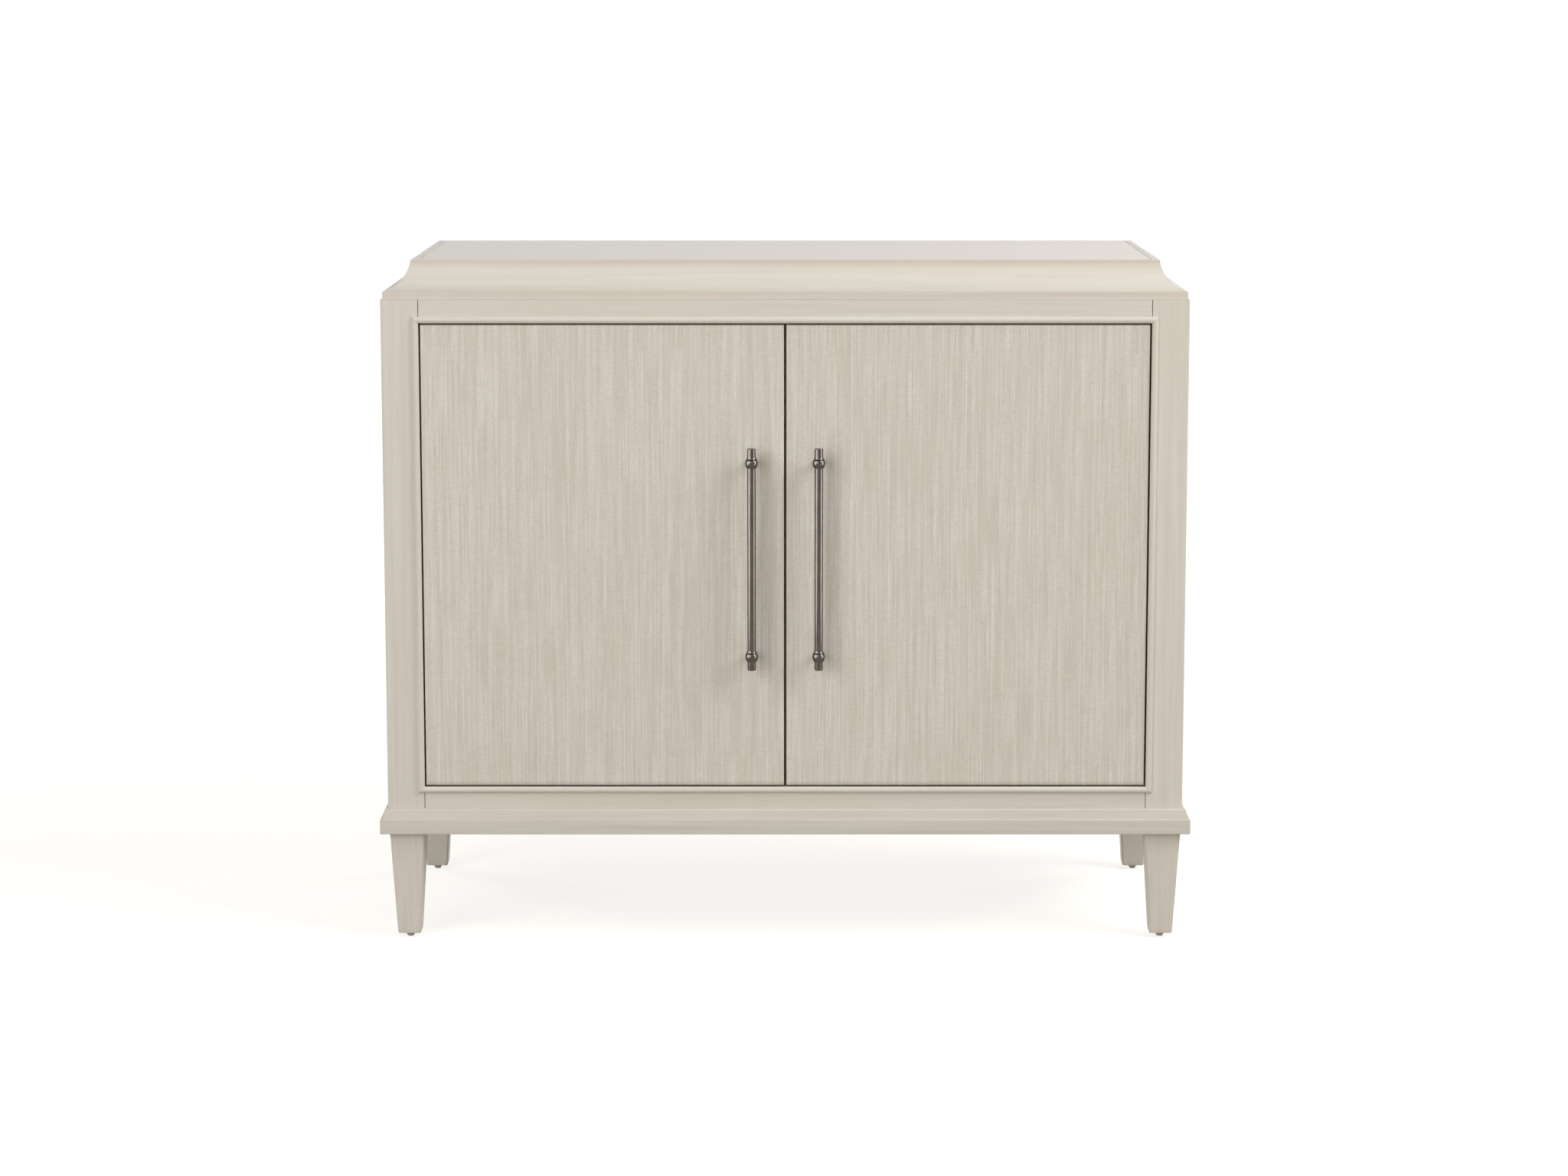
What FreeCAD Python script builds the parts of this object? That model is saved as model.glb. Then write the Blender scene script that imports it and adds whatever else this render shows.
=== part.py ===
import FreeCAD
import Part
import math
import os
from FreeCAD import Vector

# A two-door hall chest on four tapered legs, in millimetres.
# The front faces -Y, +Z is up, and the origin is on the floor at the middle of the chest's plan.

# Case sizes
case_width = 1097.0
case_depth = 472.6
post_size = 50.7
post_round = 2.5
joint_chamfer = 0.3
joint_gap = 0.8
rail_thickness = 22.0
side_thickness = 20.0
panel_thickness = 18.0
back_thickness = 8.0
cleat_size = 20.0

# Heights, stacked from the floor
glide_height = 7.0
leg_length = 144.6
bottom_rail_height = 64.6
opening_height = 641.2
top_rail_height = 30.9

# Joinery
tenon_thickness = 8.0
tenon_length = 18.0
tenon_shoulder = 6.0
tongue_thickness = 8.0
tongue_length = 8.0
housing_depth = 6.0

# Legs and glides
leg_head = 48.9
leg_foot = 32.4
leg_arris = 2.0
foot_bevel = 0.8
foot_bevel_height = 4.5
glide_top_radius = 8.6
glide_tip_radius = 4.6

# Base band and the moulding above it
band_height = 21.0
band_projection = 10.4
band_ease = 1.4
moulding_height = 13.6
moulding_foot = 7.4
moulding_head = 4.9
moulding_round = 3.0

# Cove and top
cove_lip = 10.9
cove_rise = 40.8
cove_setback = 3.0
cove_radius = 48.0
top_setback = 38.5
top_rim = 10.0
top_ease = 1.2
top_thickness = 20.0
top_gap = 0.7
batten_width = 45.0
batten_spacing = 320.0
back_batten_thickness = 20.0

# Bead round the door opening
bead_width = 8.3
bead_rise = 4.4

# Doors
door_core = 18.0
weave_thickness = 2.0
weave_edge = 0.6
door_edge_chamfer = 0.8
door_gap = 2.8
meeting_gap = 3.2

# Cup hinges: the pin lies inside the door, near its outer edge
hinge_inset = 90.0
pin_inset = 13.5
pin_depth = 8.5
pin_radius = 1.5
pin_running_fit = 0.05
cup_inset = 22.0
cup_radius = 17.5
cup_wall = 1.0
cup_floor_clearance = 0.5
flange_thickness = 1.2
flange_half_width = 19.5
flange_half_height = 29.0
eye_radius = 2.8
arm_thickness = 3.0
arm_width = 13.0
swing_clearance = 0.8
plate_thickness = 3.3
plate_start = 20.0
plate_length = 21.0
plate_half_height = 9.0
plate_wing_half_height = 24.0
plate_wing_length = 11.0

# Bumpers on the partition
bumper_radius = 3.8
bumper_thickness = 2.5
bumper_clearance = 0.3
bumper_inset = 40.0

# Shelves and their pins
shelf_level = 300.0
shelf_front = 80.0
shelf_clearance = 1.0
shelf_pin_inset = 45.0
peg_radius = 2.5
peg_clearance = 0.05
peg_length = 8.0
peg_hole_depth = 9.0
peg_tongue = 9.0
peg_tongue_width = 6.0

# Pulls
pull_from_middle = 45.7
pull_length = 304.8
pull_radius = 5.75
pull_end_chamfer = 0.9
pull_standoff = 27.0
collar_spacing = 266.0
collar_half_length = 7.5
collar_radius = 8.65
collar_end_radius = 6.1
collar_barrel_half = 4.5
stem_radius = 4.2
bar_fit = 0.05

# Places worked out from the sizes
half_width = case_width / 2
pull_reach = pull_standoff + collar_radius
face_y = (pull_reach - case_depth) / 2
back_y = face_y + case_depth
case_bottom = glide_height + leg_length
opening_bottom = case_bottom + bottom_rail_height
opening_top = opening_bottom + opening_height
case_top_z = opening_top + top_rail_height
top_z = case_top_z + cove_lip + cove_rise
opening_half = half_width - post_size
side_inner = half_width - side_thickness
rail_back = face_y + rail_thickness
back_rail_front = back_y - rail_thickness
ceiling = case_top_z - panel_thickness
top_half = half_width - top_setback - top_rim
top_front = face_y + top_setback + top_rim
top_under = top_z - top_thickness
door_thickness = door_core + weave_thickness
door_outer = opening_half - door_gap
door_inner = meeting_gap / 2
door_bottom = opening_bottom + door_gap
door_top = opening_top - door_gap
door_middle = (door_bottom + door_top) / 2
door_back = face_y + door_thickness
partition_front = door_back + bumper_clearance + bumper_thickness
partition_half = panel_thickness / 2
shelf_z = opening_bottom + shelf_level
hinge_heights = (door_bottom + hinge_inset, door_top - hinge_inset)
collar_heights = (door_middle - collar_spacing / 2, door_middle + collar_spacing / 2)


def box(x, y, z):
    """A block between the low and high values of x, y and z."""
    size = [high - low for low, high in (x, y, z)]
    return Part.makeBox(*size, Vector(x[0], y[0], z[0]))


def slab(points, direction):
    """A flat polygon carried along a direction."""
    return Part.Face(Part.makePolygon(points + points[:1])).extrude(direction)


def rod(radius, start, direction):
    """A round bar from a start point along a direction."""
    return Part.makeCylinder(radius, direction.Length, start, direction)


def line(start, end):
    return Part.LineSegment(start, end).toShape()


def arc(start, through, end):
    return Part.Arc(start, through, end).toShape()


def mirrored(shape):
    """The same piece on the other side of the chest."""
    return shape.mirror(Vector(0, 0, 0), Vector(1, 0, 0))


def edges_at(shape, **place):
    """The edges whose ends all lie at the given coordinates."""
    def lies_there(edge):
        return all(abs(getattr(vertex.Point, axis) - value) < 1e-6
                   for vertex in edge.Vertexes for axis, value in place.items())
    return [edge for edge in shape.Edges if lies_there(edge)]


def save(name, *solids):
    """Writes one node: a single solid, or a group of separate ones."""
    shape = solids[0] if len(solids) == 1 else Part.makeCompound(list(solids))
    shape.exportStep(os.path.join("parts", name + ".step"))


def save_pair(name, *solids):
    """Writes the left-hand piece and its mirror image."""
    save(name + "_left", *solids)
    save(name + "_right", *[mirrored(solid) for solid in solids])


# Face frame and back frame

def rail(low_y, low_z, high_z, chamfered_y):
    """A rail between two posts, tenoned into both across a narrow open joint."""
    y = (low_y, low_y + rail_thickness)
    shoulder = opening_half - joint_gap
    bar = box((-shoulder, shoulder), y, (low_z, high_z))
    ends = edges_at(bar, x=shoulder, y=chamfered_y) + edges_at(bar, x=-shoulder, y=chamfered_y)
    bar = bar.makeChamfer(joint_chamfer, ends)
    tenon_y = low_y + (rail_thickness - tenon_thickness) / 2
    reach = opening_half + tenon_length
    tenon = box((-reach, reach), (tenon_y, tenon_y + tenon_thickness),
                (low_z + tenon_shoulder, high_z - tenon_shoulder))
    return bar.fuse(tenon).removeSplitter()


def side_panel():
    """The left side, with a tongue along its front and back edges across a narrow open joint."""
    x = (-half_width, -side_inner)
    y = (face_y + post_size + joint_gap, back_y - post_size - joint_gap)
    z = (case_bottom, case_top_z)
    panel = box(x, y, z)
    shown = edges_at(panel, x=-half_width, y=y[0]) + edges_at(panel, x=-half_width, y=y[1])
    panel = panel.makeChamfer(joint_chamfer, shown)
    tongue_x = x[0] + (side_thickness - tongue_thickness) / 2
    reach = joint_gap + tongue_length
    tongue = box((tongue_x, tongue_x + tongue_thickness), (y[0] - reach, y[1] + reach), z)
    return panel.fuse(tongue).removeSplitter()


def eased_square(centre, side, z):
    """The corners of a square outline with its arrises taken off, at height z."""
    half = side / 2
    flat = half - leg_arris
    corners = [(half, -flat), (half, flat), (flat, half), (-flat, half),
               (-half, flat), (-half, -flat), (-flat, -half), (flat, -half)]
    return [Vector(centre.x + u, centre.y + v, z) for u, v in corners]


def leg(centre):
    """The tapered lower end of a post: flat faces between three outlines, with a narrow bevel round the toe."""
    outlines = [
        eased_square(centre, leg_foot - 2 * foot_bevel, glide_height),
        eased_square(centre, leg_foot, glide_height + foot_bevel_height),
        eased_square(centre, leg_head, case_bottom),
    ]
    rings = [outlines[0], outlines[-1]]
    for low, high in zip(outlines, outlines[1:]):
        for corner, beside in zip(range(-1, len(low) - 1), range(len(low))):
            rings.append([low[corner], low[beside], high[beside], high[corner]])
    faces = [Part.Face(Part.makePolygon(ring + ring[:1])) for ring in rings]
    return Part.makeSolid(Part.makeShell(faces))


def post(front, joined):
    """A left corner post: square up to the cove, with its leg below, cut for what is joined to it."""
    x = (-half_width, -opening_half)
    y = (face_y, face_y + post_size) if front else (back_y - post_size, back_y)
    shown_y, inner_y = y if front else (y[1], y[0])
    shaft = box(x, y, (case_bottom, case_top_z))
    shaft = shaft.makeFillet(post_round, edges_at(shaft, x=x[0], y=shown_y))
    shaft = shaft.makeChamfer(joint_chamfer, edges_at(shaft, x=x[1], y=shown_y))
    shaft = shaft.makeChamfer(joint_chamfer, edges_at(shaft, x=x[0], y=inner_y))
    for piece in joined:
        shaft = shaft.cut(piece)
    return shaft.fuse(leg(leg_centre(front))).removeSplitter()


def leg_centre(front):
    """The axis of a left leg, flush with the inner faces of its post."""
    inward = leg_head / 2
    y = face_y + post_size - inward if front else back_y - post_size + inward
    return Vector(-opening_half - inward, y, 0)


def glide(centre):
    """A tapered plastic glide nailed under a leg."""
    return Part.makeCone(glide_tip_radius, glide_top_radius, glide_height, Vector(centre.x, centre.y, 0))


def four_corners(maker):
    """A piece made at both left corners, and mirrored to the right."""
    left = [maker(leg_centre(front)) for front in (True, False)]
    return left + [mirrored(piece) for piece in left]


# Mouldings: a section given by its distance out from the case and its height

def cove_section(place):
    """A lip, a hollow curve rising inward, an eased edge and the flat rim beside the top panel."""
    lip_foot = (-cove_setback, case_top_z)
    lip_head = (-cove_setback, case_top_z + cove_lip)
    brow = (-top_setback, top_z - top_ease)
    run = brow[0] - lip_head[0]
    rise = brow[1] - lip_head[1]
    chord = math.hypot(run, rise)
    sag = cove_radius - math.sqrt(cove_radius ** 2 - chord ** 2 / 4)
    hollow = ((lip_head[0] + brow[0]) / 2 - sag * rise / chord, (lip_head[1] + brow[1]) / 2 + sag * run / chord)
    rim_start = (-top_setback - top_ease, top_z)
    rim_end = (-top_setback - top_rim, top_z)
    heel = (rim_end[0], case_top_z)
    corners = [place(*point) for point in (brow, rim_start, rim_end, heel, lip_foot, lip_head)]
    edges = [line(start, end) for start, end in zip(corners, corners[1:])]
    return edges + [arc(place(*lip_head), place(*hollow), place(*brow))]


def moulding_section(place):
    """A leaning face with a rounded top edge, on the band."""
    low = case_bottom + band_height
    high = low + moulding_height
    lean = moulding_round * math.sqrt(0.5)
    round_low = (moulding_head, high - moulding_round)
    round_mid = (moulding_head - moulding_round + lean, high - moulding_round + lean)
    round_high = (moulding_head - moulding_round, high)
    corners = [place(*point) for point in (round_high, (0, high), (0, low), (moulding_foot, low), round_low)]
    edges = [line(start, end) for start, end in zip(corners, corners[1:])]
    return edges + [arc(place(*round_low), place(*round_mid), place(*round_high))]


def band_section(place):
    """A square-edged band with its two outer arrises taken off."""
    low = case_bottom
    high = case_bottom + band_height
    out = band_projection
    corners = [(0, low), (out - band_ease, low), (out, low + band_ease), (out, high - band_ease),
               (out - band_ease, high), (0, high)]
    corners = [place(*point) for point in corners]
    return [line(start, end) for start, end in zip(corners, corners[1:] + corners[:1])]


def front_moulding(section, inner, outer):
    """A moulding across the front, mitred at both front corners."""
    reach = half_width + outer
    edges = section(lambda out, z: Vector(-reach, face_y - out, z))
    bar = Part.Face(Part.Wire(Part.__sortEdges__(edges))).extrude(Vector(2 * reach, 0, 0))
    plan = [(-half_width - outer, face_y - outer), (half_width + outer, face_y - outer),
            (half_width + inner, face_y - inner), (-half_width - inner, face_y - inner)]
    return bar.common(slab([Vector(x, y, 0) for x, y in plan], Vector(0, 0, top_z)))


def side_moulding(section, inner, outer):
    """A moulding along the left side, mitred at the front and square at the back."""
    edges = section(lambda out, z: Vector(-half_width - out, face_y - outer, z))
    length = case_depth + outer
    bar = Part.Face(Part.Wire(Part.__sortEdges__(edges))).extrude(Vector(0, length, 0))
    plan = [(-half_width - outer, face_y - outer), (-half_width - inner, face_y - inner),
            (-half_width - inner, back_y), (-half_width - outer, back_y)]
    return bar.common(slab([Vector(x, y, 0) for x, y in plan], Vector(0, 0, top_z)))


def save_moulding(name, section, inner, outer):
    save(name + "_front", front_moulding(section, inner, outer))
    save_pair(name, side_moulding(section, inner, outer))


def bead(start, along, outward):
    """One half-round length of bead beside an opening edge, mitred at both ends."""
    run = Vector(along).normalize()
    forward = Vector(0, -bead_rise, 0)
    tail = start - run * bead_width
    crest = tail + outward * (bead_width / 2) + forward
    far = tail + outward * bead_width
    section = Part.Face(Part.Wire([arc(tail, crest, far), line(far, tail)]))
    bar = section.extrude(along + run * (2 * bead_width))
    mitre = [start, start + along, start + along + (run + outward) * bead_width, far]
    return bar.common(slab(mitre, forward))


def save_beads():
    corner = Vector(-opening_half, face_y, opening_bottom)
    across = Vector(2 * opening_half, 0, 0)
    up = Vector(0, 0, opening_height)
    save("bead_bottom", bead(corner, across, Vector(0, 0, -1)))
    save("bead_top", bead(corner + up, across, Vector(0, 0, 1)))
    save_pair("bead", bead(corner, up, Vector(-1, 0, 0)))


# Inside the case

def floor_panel(low_z, partition):
    """The deck or the case top: cut round the four posts and housed for the partition."""
    panel = box((-side_inner, side_inner), (rail_back, back_rail_front), (low_z, low_z + panel_thickness))
    for x in ((-half_width, -opening_half), (opening_half, half_width)):
        for y in ((face_y, face_y + post_size), (back_y - post_size, back_y)):
            panel = panel.cut(box(x, y, (0, top_z)))
    return panel.cut(partition)


def centre_partition():
    x = (-partition_half, partition_half)
    return box(x, (partition_front, back_rail_front), (opening_bottom - housing_depth, ceiling + housing_depth))


def peg_columns():
    """The two depths at which the shelves are pegged."""
    return (face_y + shelf_front + shelf_pin_inset, back_y - post_size - shelf_pin_inset)


def drilled(panel, wall_x, into):
    """A panel with its peg holes, drilled from the wall in the given X direction."""
    for y in peg_columns():
        mouth = Vector(wall_x, y, shelf_z - peg_radius)
        panel = panel.cut(rod(peg_radius + peg_clearance, mouth, Vector(into * peg_hole_depth, 0, 0)))
    return panel


def peg(wall_x, y, into):
    """A shelf peg: a round stub in the wall and a flat tongue under the shelf."""
    middle_z = shelf_z - peg_radius
    stub = rod(peg_radius, Vector(wall_x, y, middle_z), Vector(into * peg_length, 0, 0))
    tongue_x = sorted((wall_x, wall_x - into * peg_tongue))
    half = peg_tongue_width / 2
    return stub.fuse(box(tongue_x, (y - half, y + half), (middle_z, shelf_z))).removeSplitter()


def shelf():
    """The left shelf, notched round the rear post."""
    x = (-side_inner + shelf_clearance, -partition_half - shelf_clearance)
    y = (face_y + shelf_front, back_rail_front - shelf_clearance)
    z = (shelf_z, shelf_z + panel_thickness)
    notch = box((-half_width, -opening_half + shelf_clearance), (back_y - post_size - shelf_clearance, back_y), z)
    return box(x, y, z).cut(notch)


def bumper(height):
    """A soft disc on the partition's front edge, behind the left door."""
    start = Vector(-partition_half / 2, partition_front, height)
    return rod(bumper_radius, start, Vector(0, -bumper_thickness, 0))


# Left door, hung on two cup hinges

pin_x = -door_outer + pin_inset
pin_y = face_y + pin_depth
cup_x = -door_outer + cup_inset
cup_floor_y = pin_y - eye_radius - cup_floor_clearance
swing_radius = math.hypot(pin_inset, door_thickness - pin_depth)
arm_inner = swing_radius + swing_clearance
arm_outer = arm_inner + arm_thickness
plate_face = plate_thickness - pin_inset - door_gap


def cup_bore(height):
    """The round hole in the back of the door that takes a cup."""
    start = Vector(cup_x, cup_floor_y - cup_wall, height)
    return rod(cup_radius, start, Vector(0, door_back - start.y, 0))


def cup_cavity(height):
    start = Vector(cup_x, cup_floor_y, height)
    return rod(cup_radius - cup_wall, start, Vector(0, door_back + flange_thickness - start.y, 0))


def cup(height):
    """A drawn steel cup with a flange on the back of the door, open towards the back."""
    flange = box((cup_x - flange_half_width, cup_x + flange_half_width),
                 (door_back, door_back + flange_thickness),
                 (height - flange_half_height, height + flange_half_height))
    return cup_bore(height).fuse(flange).removeSplitter().cut(cup_cavity(height))


def hinge_pin(height):
    """A steel pin right across the cup, its ends dressed to the cup's round wall."""
    reach = cup_radius - cup_wall
    bar = rod(pin_radius, Vector(pin_x, pin_y, height - reach), Vector(0, 0, 2 * reach))
    return bar.common(cup_cavity(height))


def hinge_arm(height):
    """A bent arm: from the pin towards the door's middle, back out of the cup, round behind the door's
    edge, which swings past it, and along the plate on the post."""
    half = arm_thickness / 2
    plate_end = plate_start + plate_length
    outline = [(0, -half), (arm_outer, -half), (arm_outer, arm_outer), (plate_face + arm_thickness, arm_outer),
               (plate_face + arm_thickness, plate_end), (plate_face, plate_end), (plate_face, arm_inner),
               (arm_inner, arm_inner), (arm_inner, half), (0, half)]
    low = height - arm_width / 2
    strap = slab([Vector(pin_x + u, pin_y + v, low) for u, v in outline], Vector(0, 0, arm_width))
    eye = rod(eye_radius, Vector(pin_x, pin_y, low), Vector(0, 0, arm_width))
    bore = rod(pin_radius + pin_running_fit, Vector(pin_x, pin_y, low), Vector(0, 0, arm_width))
    return strap.fuse(eye).removeSplitter().cut(bore)


def hinge_plate(height):
    """A cross-shaped plate on the inner face of the front post."""
    x = (-opening_half, -opening_half + plate_thickness)
    start = pin_y + plate_start
    body = box(x, (start, start + plate_length), (height - plate_half_height, height + plate_half_height))
    wing_start = start + (plate_length - plate_wing_length) / 2
    wing = box(x, (wing_start, wing_start + plate_wing_length),
               (height - plate_wing_half_height, height + plate_wing_half_height))
    return body.fuse(wing).removeSplitter()


def door():
    """The panel core, with its back arrises taken off and bored for the cups."""
    core = box((-door_outer, -door_inner), (face_y + weave_thickness, door_back), (door_bottom, door_top))
    core = core.makeChamfer(door_edge_chamfer, edges_at(core, y=door_back))
    for height in hinge_heights:
        core = core.cut(cup_bore(height))
    return core


def weave():
    """The woven sheet glued to the front of the core, with its front edge eased."""
    sheet = box((-door_outer, -door_inner), (face_y, face_y + weave_thickness), (door_bottom, door_top))
    return sheet.makeChamfer(weave_edge, edges_at(sheet, y=face_y))


# Pulls

pull_axis_y = face_y - pull_standoff


def pull_bar():
    """A round bar with softened ends."""
    start = Vector(-pull_from_middle, pull_axis_y, door_middle - pull_length / 2)
    bar = rod(pull_radius, start, Vector(0, 0, pull_length))
    return bar.makeChamfer(pull_end_chamfer, [edge for edge in bar.Edges if edge.Closed])


def pull_post(height):
    """A turned collar round the bar, tapered at both ends, on a stem that meets the door."""
    def place(radius, along):
        return Vector(-pull_from_middle + radius, pull_axis_y, height + along)
    half = [(collar_radius, collar_barrel_half), (collar_end_radius, collar_half_length), (0, collar_half_length)]
    upper = [place(radius, along) for radius, along in half]
    lower = [place(radius, -along) for radius, along in reversed(half)]
    outline = Part.Face(Part.makePolygon(lower + upper + lower[:1]))
    collar = outline.revolve(place(0, 0), Vector(0, 0, 1), 360)
    stem = rod(stem_radius, place(0, 0), Vector(0, pull_standoff, 0))
    bar_hole = rod(pull_radius + bar_fit, place(0, -collar_half_length), Vector(0, 0, 2 * collar_half_length))
    return collar.fuse(stem).removeSplitter().cut(bar_hole)


def build_case():
    top_rail = rail(face_y, opening_top, case_top_z, face_y)
    bottom_rail = rail(face_y, case_bottom, opening_bottom, face_y)
    back_top_rail = rail(back_rail_front, opening_top, case_top_z, back_y)
    back_bottom_rail = rail(back_rail_front, case_bottom, opening_bottom, back_y)
    side = side_panel()
    save("top_rail", top_rail)
    save("bottom_rail", bottom_rail)
    save("back_top_rail", back_top_rail)
    save("back_bottom_rail", back_bottom_rail)
    save_pair("side", drilled(side, -side_inner, -1))
    save_pair("front_post", post(True, [top_rail, bottom_rail, side]))
    save_pair("rear_post", post(False, [back_top_rail, back_bottom_rail, side]))
    save("leg_glides", *four_corners(glide))
    partition = centre_partition()
    save("deck", floor_panel(opening_bottom - panel_thickness, partition))
    save("case_top", floor_panel(ceiling, partition))
    save("partition", drilled(drilled(partition, -partition_half, 1), partition_half, -1))
    save("back_panel", box((-opening_half, opening_half), (back_rail_front, back_rail_front + back_thickness),
                           (opening_bottom, opening_top)))
    deck_under = opening_bottom - panel_thickness
    cleat = box((-side_inner, -side_inner + cleat_size), (face_y + post_size, back_y - post_size),
                (deck_under - cleat_size, deck_under))
    save("deck_cleats", cleat, mirrored(cleat))
    save_pair("shelf", shelf())
    walls = ((-side_inner, -1), (-partition_half, 1))
    pegs = [peg(wall_x, y, into) for wall_x, into in walls for y in peg_columns()]
    save("shelf_pegs", *pegs, *[mirrored(piece) for piece in pegs])
    bumpers = [bumper(height) for height in (door_bottom + bumper_inset, door_top - bumper_inset)]
    save("door_bumpers", *bumpers, *[mirrored(piece) for piece in bumpers])


def build_trim():
    save_beads()
    save_moulding("band", band_section, 0, band_projection)
    save_moulding("base_moulding", moulding_section, 0, moulding_foot)
    save_moulding("cove", cove_section, -top_setback - top_rim, -cove_setback)
    panel_half = top_half - top_gap
    save("top_panel", box((-panel_half, panel_half), (top_front + top_gap, back_y), (top_under, top_z)))
    batten_z = (case_top_z, top_under)
    batten_y = (top_front, back_y - back_batten_thickness)
    half = batten_width / 2
    save("top_battens", *[box((x - half, x + half), batten_y, batten_z)
                          for x in (-batten_spacing, 0, batten_spacing)])
    save("back_batten", box((-top_half, top_half), (batten_y[1], back_y), batten_z))


def build_doors():
    save_pair("hinge_plates", *[hinge_plate(height) for height in hinge_heights])
    save_pair("hinge_arms", *[hinge_arm(height) for height in hinge_heights])
    save_pair("hinge_cups", *[cup(height) for height in hinge_heights])
    save_pair("hinge_pins", *[hinge_pin(height) for height in hinge_heights])
    save_pair("door", door())
    save_pair("door_weave", weave())
    save_pair("pull_bar", pull_bar())
    save_pair("pull_posts", *[pull_post(height) for height in collar_heights])


os.makedirs("parts", exist_ok=True)
build_case()
build_trim()
build_doors()
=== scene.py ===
import math

import bmesh
import bpy
import numpy as np
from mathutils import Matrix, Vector


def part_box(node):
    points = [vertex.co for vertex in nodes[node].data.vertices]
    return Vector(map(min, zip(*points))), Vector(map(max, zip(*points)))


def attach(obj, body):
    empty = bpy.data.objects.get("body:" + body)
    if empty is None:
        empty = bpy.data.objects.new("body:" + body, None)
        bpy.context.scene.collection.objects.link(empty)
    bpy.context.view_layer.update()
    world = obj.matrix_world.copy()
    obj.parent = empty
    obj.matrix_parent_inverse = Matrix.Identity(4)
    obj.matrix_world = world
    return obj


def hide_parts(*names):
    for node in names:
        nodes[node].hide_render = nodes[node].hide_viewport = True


# The looks of a two-door hall chest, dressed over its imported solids.
# Meshes are worked out in millimetres and put into Blender in metres.

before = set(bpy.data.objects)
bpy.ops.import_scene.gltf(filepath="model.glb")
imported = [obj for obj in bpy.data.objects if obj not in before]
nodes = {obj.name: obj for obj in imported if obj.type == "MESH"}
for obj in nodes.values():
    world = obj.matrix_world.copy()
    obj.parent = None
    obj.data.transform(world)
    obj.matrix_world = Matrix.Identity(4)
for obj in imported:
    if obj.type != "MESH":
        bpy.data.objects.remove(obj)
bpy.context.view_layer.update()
scene = bpy.context.scene

MM = 0.001

# Mesh
merge_gap = 0.002
turned_sides = 64
corner_share = 0.45

# Raffia facing of the doors
strand_width = 2.3
least_width_share = 0.7
most_width_share = 1.3
strand_relief = 0.30
least_fullness = 0.6
strand_wander = 0.3
slub_length = 30.0
tone_length = 85.0
facing_edge = 0.7
facing_rows = 112
facing_seeds = {"left": 11, "right": 23}
cross_pitch = 3.0

# Pulls
bar_end_round = 1.3
collar_half = 7.5
neck_radius = 6.1
flare_radius = 7.3
crease_radius = 6.7
ball_radius = 8.6
ball_skew = 0.75
ball_fullness = 0.7
flare_length = 3.2
flare_curve = 0.6
crease_width = 0.3
stem_radius = 4.2
stem_foot_radius = 5.4
stem_curve = 5

# Mouldings
cove_lip = 10.9
cove_radius = 48.0
top_rim = 10.0
arris = 0.7
moulding_head = 4.9
moulding_round = 3.0
moulding_seat = 1.0
bead_lap = 0.8

# Tan shade painted into the mouldings, under the brow of the cove, at the head of its lip and at the foot of the
# base: how far it spreads and its largest share; under the brow also the part of the spread over which it builds up
# and the power it fades by
painted_shade_tan = "#B9A792"
brow_shade_reach = 15.0
brow_share = 0.66
brow_start = 0.08
brow_fade = 1.6
lip_shade_reach = 1.6
lip_share = 0.40
foot_shade_reach = 3.5
foot_share = 0.20

# Glides
glide_top_radius = 8.6
glide_tip_radius = 4.6
glide_tip_round = 1.3

# Screws
pull_screw_radius = 4.0
hinge_screw_radius = 3.4
cup_flange_half = 29.0
cup_screw_reach = 23.5
plate_screw_reach = 16.5

# Form of a screw's head, as shares of its radius
head_rim = 0.20
head_crown = 0.32
recess_depth = 0.34
recess_arm = 0.14
recess_wall = 0.05
recess_reach = 0.62
recess_end = 0.1

# Roughness of the lacquer
satin = 0.56
matt = 0.58

# Studio, in metres; lamp heights in degrees and the camera's pitch in radians
ambient_light = 0.22
floor_extent = 14.0
floor_points = 9
floor_near = 1.2
floor_far = 4.0
floor_near_white = 0.76
lamp_aim = (0, 0, 0.5)
strip_height = 1
strip_distance = 1.9
strip_size = 2.4
strip_brightness = 6.4
camera_place = (-0.00156, -5.34058, 1.27927)
camera_pitch = 0.1521
camera_lens = 86.91
camera_sensor = 36.0


def box_mm(node):
    """The lowest and highest corner of a CAD node, in millimetres."""
    low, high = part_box(node)
    return np.array(low) / MM, np.array(high) / MM


# Materials

def linear(hex_colour):
    """An sRGB hex value as linear red, green, blue and full alpha."""
    channels = np.array([int(hex_colour[i:i + 2], 16) for i in (1, 3, 5)]) / 255
    curve = np.where(channels <= 0.04045, channels / 12.92, ((channels + 0.055) / 1.055) ** 2.4)
    return (*curve, 1.0)


def wire(tree, node, inputs):
    """Fills a node's inputs, by name or number: a socket is linked and anything else is set as a value."""
    for key, value in inputs.items():
        if isinstance(value, bpy.types.NodeSocket):
            tree.links.new(value, node.inputs[key])
        else:
            node.inputs[key].default_value = value


def add(tree, kind, inputs=None, out=0, stops=(), **settings):
    """Adds a node with its settings, inputs and (position, colour) stops, and gives the output to read it by."""
    node = tree.nodes.new(kind)
    for key, value in settings.items():
        setattr(node, key, value)
    wire(tree, node, inputs or {})
    for index, (position, colour) in enumerate(stops):
        elements = node.color_ramp.elements
        element = elements[index] if index < 2 else elements.new(position)
        element.position, element.color = position, colour
    return node.outputs[out]


def finish_named(name):
    """An empty material, with its node tree, its surface shader and the piece's own coordinates."""
    material = bpy.data.materials.new(name)
    material.use_nodes = True
    tree = material.node_tree
    return material, tree, tree.nodes["Principled BSDF"], add(tree, "ShaderNodeTexCoord", out="Object")


def grey(value):
    """A neutral linear colour of the given brightness, with full alpha."""
    return (value, value, value, 1.0)


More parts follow.
